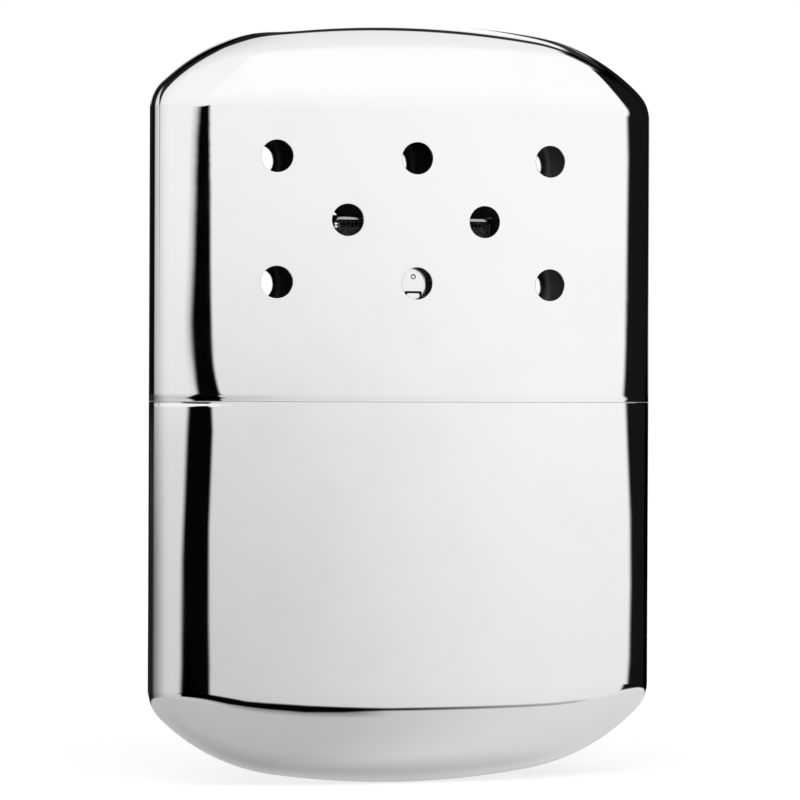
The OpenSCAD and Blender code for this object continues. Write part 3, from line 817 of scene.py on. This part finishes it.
def place_in(tree, stretch=(1, 1, 1)):
    """Place on the piece in millimetres, each axis divided by its stretch."""
    coordinate = add_node(tree, "TexCoord").outputs["Object"]
    scale = tuple(1 / (MM * s) for s in stretch)
    return add_node(tree, "Mapping", Vector=coordinate, Scale=scale).outputs["Vector"]


def noise_field(tree, size, detail=3.0, stretch=(1, 1, 1), roughness=0.5):
    """Noise from 0 to 1 with grains of this size in millimetres."""
    texture = add_node(tree, "TexNoise", Vector=place_in(tree, stretch), Scale=1 / size,
                       Detail=detail, Roughness=roughness)
    return Field(tree, texture.outputs["Fac"])


def set_surface(tree, colour, roughness, height, height_mm):
    """Plugs a colour, a roughness and a bump into the Principled shader."""
    shader = tree.nodes["Principled BSDF"]
    plug(shader.inputs["Base Color"], colour)
    plug(shader.inputs["Roughness"], roughness)
    bump = add_node(tree, "Bump", Height=height, Distance=height_mm * MM)
    plug(shader.inputs["Normal"], bump.outputs["Normal"])


def blend_colours(tree, first, second, share):
    node = add_node(tree, "Mix", {"data_type": "RGBA"})
    for number, value in ((0, share), (6, first), (7, second)):
        plug(node.inputs[number], value)
    return node.outputs[2]


def place_along(tree, axis):
    """Place on the piece along one axis, in millimetres."""
    return Field(tree, add_node(tree, "SeparateXYZ", Vector=place_in(tree)).outputs[axis])


def make_chrome():
    """Mirror plate on drawn metal: slight waves, and a faint haze of fine wear."""
    material, tree = new_material("case_chrome", Metallic=1.0)
    wear = noise_field(tree, 9, 4)
    scratches = smooth(noise_field(tree, 0.35, 2, (1, 1, 14)), 0.66, 0.8) * smooth(wear, 0.5, 0.75)
    colour = blend_colours(tree, CHROME, WORN_CHROME, smooth(wear, 0.45, 0.8) + scratches * 0.3)
    roughness = 0.012 + smooth(wear, 0.35, 0.85) * 0.014 + scratches * 0.03
    height = noise_field(tree, 14, 1) + scratches * -0.01
    set_surface(tree, colour, roughness, height, 0.0022)
    return material


def make_drawn_inside():
    """Bare inside of the drawn shells, streaked; painted shade keeps it dark, and painted light
    makes its right end paler.
    """
    material, tree = new_material("drawn_inside", Metallic=1.0)
    streaks = noise_field(tree, 0.5, 3, (1, 1, 22))
    # Painted shade: the inside is coloured near black because the hollow shell is in shade.
    painted_shade = blend_colours(tree, (0.07, 0.068, 0.066), (0.13, 0.127, 0.124), streaks)
    # Painted light: the inside is coloured paler towards its right end, as if lit through the vent
    # holes.
    painted_light_right = smooth(place_along(tree, "X"), 12, 24)
    colour = blend_colours(tree, painted_shade, (0.42, 0.41, 0.40), painted_light_right)
    set_surface(tree, colour, 0.42 + streaks * 0.2, streaks, 0.012)
    return material


def make_collar_nickel():
    """Satin nickel plate with a fine grain along X and Y and a little tarnish."""
    material, tree = new_material("collar_nickel", Metallic=1.0)
    lines = noise_field(tree, 0.25, 3, (10, 10, 1))
    tarnish = noise_field(tree, 5, 4)
    colour = blend_colours(tree, (0.74, 0.73, 0.71), (0.60, 0.58, 0.55),
                           smooth(tarnish, 0.4, 0.75) * 0.6 + lines * 0.3)
    roughness = 0.2 + lines * 0.12 + smooth(tarnish, 0.4, 0.8) * 0.06
    set_surface(tree, colour, roughness, lines, 0.004)
    return material


def make_burner_steel():
    """Bright steel, dulled by the heat towards the top with faint straw and blue tints."""
    material, tree = new_material("burner_steel", Metallic=1.0)
    lines = noise_field(tree, 0.3, 3, (1, 1, 9))
    patches = noise_field(tree, 3, 4)
    heat = smooth(place_along(tree, "Z") + patches * 2, HOUSING_FOOT_Z + 6, HOUSING_TOP_Z)
    straw = blend_colours(tree, BURNER_STEEL, (0.74, 0.70, 0.62), smooth(heat, 0.1, 0.6))
    colour = blend_colours(tree, straw, HEATED_STEEL, smooth(heat, 0.5, 0.95))
    set_surface(tree, colour, 0.1 + lines * 0.1 + heat * 0.08, lines, 0.003)
    return material


def make_gauze_wire():
    """Fine woven wire, darkened by heat."""
    material, tree = new_material("gauze_wire", Metallic=1.0)
    scale = noise_field(tree, 0.8, 3)
    colour = blend_colours(tree, (0.15, 0.145, 0.14), (0.06, 0.055, 0.05), smooth(scale, 0.35, 0.7))
    set_surface(tree, colour, 0.3 + scale * 0.25, noise_field(tree, 0.08, 2), 0.004)
    return material


def make_fibre(name, pale, dark, strand, stretch, depth):
    """Loose fibre: strands in all directions, lumps and stray dark flecks."""
    material, tree = new_material(name, Sheen_Weight=0.35, Sheen_Roughness=0.5)
    strands = noise_field(tree, strand, 5, stretch, 0.65)
    crossed = noise_field(tree, strand, 4, stretch[::-1], 0.65)
    lumps = noise_field(tree, strand * 9, 3)
    height = strands * 0.5 + crossed * 0.3 + lumps * 0.4
    colour = blend_colours(tree, dark, pale, smooth(height, 0.35, 0.8))
    set_surface(tree, colour, 0.95, height, depth)
    return material


# ---- studio ----

def card(value, low, high, soft):
    """1 between low and high, with soft edges."""
    return smooth(value, low - soft, low + soft) * smooth(value, high + soft, high - soft)


def studio_level(az, el, overhead, right):
    """Level of the studio's light by direction, where 1 shows as white in the chrome.
    az turns to the right from the front, el is the height, both in degrees. overhead is
    the turn from the front over the top, and right is the direction's part along +X."""
    # Pale walls to the left: brighter above the horizon, darker towards the back
    wall = ramp(el, (-20, 0.50), (-8, 0.56), (-5, 0.62), (-1.2, 0.69), (0, 0.80), (3, 0.87),
                (20, 0.93), (55, 0.91), (75, 0.72))
    wall_fade = ramp(az, (-125, 0.15), (-118, 0.4), (-108, 0.56), (-85, 0.78), (-60, 0.96),
                     (-40, 1))
    wall = wall * mix(wall_fade, 1, 0.5 * smooth(el, -3, 12))
    wall = wall * mix(wall_fade, 1, smooth(el, -3.5, 0.5))
    # Big window in front, dimmer low on its left side
    window_left = ramp(el, (-10, 0.545), (-5, 0.565), (-1, 0.67), (0, 0.74), (1, 0.79), (3, 0.86),
                       (7, 0.91), (18, 0.985), (50, 0.985), (56, 0.86), (80, 0.76))
    window_right = ramp(el, (-15, 0.77), (-5, 0.80), (0, 0.91), (3, 0.935), (7, 0.95),
                        (18, 0.985), (50, 0.985), (56, 0.88), (80, 0.80))
    window = mix(window_left, window_right, smooth(az, -12, 34))
    # Table under it, lighter to the right and behind
    table = ramp(el, (-90, 0.34), (-75, 0.39), (-55, 0.46), (-17, 0.49))
    lighter = smooth(az, 3, 34) * smooth(az, 178, 120) * smooth(el, -95, -45)
    table = table * mix(1, 1.42, lighter)
    # Behind: bright, with a dimmer low band
    back = mix(mix(0.68, 1, smooth(el, 2, 8)), 1, smooth(abs(az), 150, 165))

    level = mix(wall, window, smooth(az, -9.5, -7.5))
    level = mix(level, back, smooth(az, 95, 112))
    level = mix(level, back, smooth(az, -163, -176))
    level = mix(table, level, smooth(el, -17.2, -15.2))

    # Black gap between the wall and the window, which turns under the window's foot
    gap_left = -12 + 6 * ramp(el, (-11, 0.08), (-4.8, 0.283), (-3, 0.287), (-0.9, 0.367),
                              (0.1, 0.428), (0.9, 0.417), (1.9, 0.48), (4, 0.54), (8, 0.89))
    gap_right = -8 + 2 * ramp(el, (-4.8, 0.4), (-4, 0.34), (-2.5, 0.34), (-0.9, 0.52),
                              (0.2, 0.35), (3, 0.325), (4.2, 0.27))
    gap = smooth(az - gap_left, -0.35, 0.3) * smooth(az - gap_right, 0.25, -0.2)
    gap = gap * card(el, -11.5, 7, 0.7)
    gap_shade = smooth(az - gap_left, -1.0, 0.1) * smooth(az, -7, -9) * card(el, 0, 6, 0.6) * 0.5
    foot_el = ramp(az, (-10, 0.35), (-7.6, 0.47), (-5.6, 0.59), (-3.3, 0.685), (-1, 0.73),
                   (1.4, 0.77), (3.7, 0.82), (8, 0.845), (30, 0.83), (40, 0.79)) * -20
    foot_half = ramp(az, (-10, 0.9), (-5.6, 0.87), (-3.3, 0.63), (3.7, 0.7), (8.3, 0.5),
                     (10.7, 0.3), (13, 0.18), (40, 0.15)) * 3
    above_foot = el - foot_el
    foot = smooth(above_foot - foot_half, 1.0, -0.4) * smooth(above_foot + foot_half, -1.0, 0.4)
    foot = foot * smooth(az, -10.5, -9.5) * ramp(az, (16, 1), (23, 0.8), (29, 0.6), (36, 0.45),
                                                 (39, 0))
    shade = smooth(above_foot, 2.5, 0) * smooth(above_foot, -6.5, -2) * card(az, -10, 12, 3) * 0.5
    # Black card to the right, with a bowed edge
    bow = (el + 2) * (el + 2)
    card_edge = 39.88 + 2 * ramp(el, (-6, 0.45), (-4.6, 0.84), (-3.4, 0.93), (-2.3, 0.89),
                              (-0.3, 0.55), (3.6, 0.5), (4.4, 0.37))
    card_edge = card_edge + 0.010 * bow + 0.0000015 * bow * bow
    dark_right = smooth(az - card_edge, -0.3, 0.3) * card(el, -13, 46, 1.5) * smooth(az, 140, 132)
    # Thin black band behind, low on the right, and a black arc above it
    band = card(el, -10, 0, 0.8) * card(az, 100, 160, 2)
    arc = card(el - 5 * smooth(az, 104, 120), 42, 55, 1.5) * card(az, 75, 134, 3)
    # Black far to the left, and behind near the horizon
    far_left = smooth(az, -116, -122) * smooth(az, -163, -157) * card(el, -2, 75, 2)
    behind = smooth(abs(az), 157, 163) * smooth(abs(el), 8, 5)
    # Black bar right overhead
    bar_low = mix(88, 84, smooth(right, -0.1, 0.1))
    bar_high = mix(116, 92, smooth(right, -0.1, 0.1))
    bar = smooth(overhead - bar_low, -1, 1) * smooth(bar_high - overhead, -1, 1)

    for share, dark in ((0.998, gap), (1, gap_shade), (0.995, foot), (1, shade),
                        (0.992, dark_right), (0.98, band), (0.97, arc), (0.98, far_left),
                        (0.98, behind), (0.97, bar)):
        level = level * (1 - share * dark)
    return level


def build_world():
    """White for the camera, and the soft studio for all that the object reflects."""
    world = bpy.data.worlds.new("studio")
    world.use_nodes = True
    bpy.context.scene.world = world
    tree = world.node_tree
    tree.nodes.clear()
    add_node(tree, "OutputWorld")
    way = add_node(tree, "TexCoord").outputs["Generated"]
    parts = add_node(tree, "SeparateXYZ", Vector=way)
    x, y, z = (Field(tree, parts.outputs[axis]) for axis in "XYZ")
    back = y * -1.0
    degrees = 180 / math.pi
    az = x.math("ARCTAN2", back) * degrees
    el = z.math("ARCSINE") * degrees
    overhead = z.math("ARCTAN2", back) * degrees
    level = studio_level(az, el, overhead, x) * STUDIO_STRENGTH
    colour = add_node(tree, "CombineColor", Red=level, Green=level, Blue=level * 1.01)
    studio = add_node(tree, "Background", Color=colour.outputs["Color"])
    backdrop = add_node(tree, "Background", Color=(1, 1, 1))
    seen = add_node(tree, "LightPath").outputs["Is Camera Ray"]
    join_shaders(tree, "MixShader", seen, studio.outputs[0], backdrop.outputs[0])


def build_floor():
    """Plain pale floor. The chrome mirrors the studio's own table instead of it."""
    size = 3.0
    mesh = bpy.data.meshes.new("floor")
    mesh.from_pydata([(-size, -size, 0), (size, -size, 0), (size, size, 0), (-size, size, 0)],
                     [], [(0, 1, 2, 3)])
    floor = bpy.data.objects.new("floor", mesh)
    bpy.context.scene.collection.objects.link(floor)
    floor.visible_glossy = False
    material, tree = new_material("floor_white", Base_Color=(0.9, 0.9, 0.9), Roughness=1.0,
                                  Specular_IOR_Level=0.0)
    seen = Field(tree, add_node(tree, "LightPath").outputs["Is Camera Ray"])
    glow = add_node(tree, "Emission", Color=(1, 1, 1), Strength=seen * FLOOR_LIFT)
    join_shaders(tree, "AddShader", tree.nodes["Principled BSDF"].outputs[0], glow.outputs[0])
    floor.data.materials.append(material)


def build_camera():
    """The photograph's view: 450 mm away, a little to the left, almost level."""
    az, el, roll = (math.radians(angle) for angle in CAMERA_TURN)
    camera = bpy.data.objects.new("camera", bpy.data.cameras.new("camera"))
    camera.data.sensor_width, camera.data.lens = 36, CAMERA_LENS
    camera.data.clip_start, camera.data.clip_end = 0.01, 10
    turn = (Matrix.Rotation(az, 4, "Z") @ Matrix.Rotation(math.pi / 2 - el, 4, "X")
            @ Matrix.Rotation(roll, 4, "Z"))
    aim, away = Vector(CAMERA_AIM) * MM, Vector((0, 0, CAMERA_AWAY * MM))
    camera.matrix_world = Matrix.Translation(aim) @ turn @ Matrix.Translation(away)
    bpy.context.scene.collection.objects.link(camera)
    bpy.context.scene.camera = camera


# ---- the warmer ----

def settle(piece, body, node):
    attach(piece, body)
    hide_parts(node)
    return piece


def build_case(chrome, inside):
    """The lid with its vent holes, and the tank."""
    lid_depth = BODY_H - SEAM_Z - RIM_GAP
    grid_top = BODY_H - (SEAM_Z + VENT_RISE) - GRID_ROWS * VENT_STEP_Z / 2
    grid = grid_top + np.arange(GRID_ROWS * CELL_CUTS + 1) * VENT_STEP_Z / CELL_CUTS
    above = np.linspace(DOME_H, grid_top, 4)[1:-1]
    below = [lid_depth - away for away in RIM_ROWS]
    lid = drawn_cup("lid", lid_depth, [*above, *grid, *below], len(above), [chrome, inside])
    settle(lid, "lid", "lid_shell")
    rows = [*np.linspace(DOME_H, SEAM_Z - RIM_ROWS[0] - 1, 14)[1:],
            *(SEAM_Z - away for away in RIM_ROWS)]
    tank = drawn_cup("tank", SEAM_Z, rows, None, [chrome, inside])
    settle(tank, "tank", "tank_shell")


def build_tank_fittings(nickel, wire, cotton):
    """Collar, neck and what fills them. Returns the soft pieces."""
    settle(build_shoulder([nickel]), "tank", "tank_shoulder")
    settle(build_neck([nickel]), "tank", "filler_neck")
    wadding = settle(build_cotton([cotton]), "tank", "fuel_cotton")
    pad = soft_slab("neck_felt", NECK_FILL_INSET, NECK_FOOT_Z, PLATE_Z, 0.5, 0.25, [cotton])
    roughen(pad, 0.1, 0.6, 3)
    settle(pad, "tank", "neck_pad")
    width, depth = BURNER_W - 2 * NECK_FILL_INSET, BURNER_T - 2 * NECK_FILL_INSET
    weave, faces = woven_wires(width, depth, BURNER_CORNER_R - NECK_FILL_INSET)
    screen = build_gauze("neck_screen", weave + (0, 0, PLATE_Z + 2 * GAUZE_WIRE_R), faces, [wire])
    settle(screen, "tank", "neck_gauze")
    return wadding, pad


def build_burner(steel, wire, catalyst):
    """Housing, skirt, catalyst and its screens. Returns the soft piece."""
    settle(build_housing([steel]), "burner", "burner_housing")
    settle(build_burner_skirt([steel]), "burner", "burner_skirt")
    mat = settle(build_mat([catalyst]), "burner", "catalyst_mat")
    flat = BURNER_W / 2 - BURNER_CORNER_R
    bend_r = BURNER_CORNER_R - GAUZE_INSET
    end = BAR_W / 2 + WINDOW_W + GAUZE_LAP - GAUZE_WIRE_R
    width = 2 * (flat + bend_r * math.asin((end - flat) / bend_r))
    height = HOUSING_H - SKIRT_ENTRY - PLATE_T - HOUSING_BEND_R
    weave, faces = woven_wires(width, height, 0.01)
    for name, node, side in (("front_screen", "gauze_front", -1), ("back_screen", "gauze_back", 1)):
        points = bend_round_corners(weave, side) + (0, 0, MAT_FOOT_Z + height / 2)
        settle(build_gauze(name, points, faces, [wire]), "burner", node)
    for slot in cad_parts["vapour_plate"].material_slots:
        slot.material = steel
    return mat


def build_warmer():
    steel, wire = make_burner_steel(), make_gauze_wire()
    catalyst = make_fibre("catalyst_fibre", (0.10, 0.10, 0.104), (0.015, 0.015, 0.016), 0.16,
                          (6, 1, 1), 0.12)
    cotton = make_fibre("cotton", (0.90, 0.88, 0.83), (0.66, 0.63, 0.57), 0.25, (5, 1, 1), 0.15)
    build_case(make_chrome(), make_drawn_inside())
    wadding, pad = build_tank_fittings(make_collar_nickel(), wire, cotton)
    mat = build_burner(steel, wire, catalyst)


build_camera()
build_world()
build_floor()
build_warmer()
bpy.context.scene.view_settings.view_transform = "Standard"
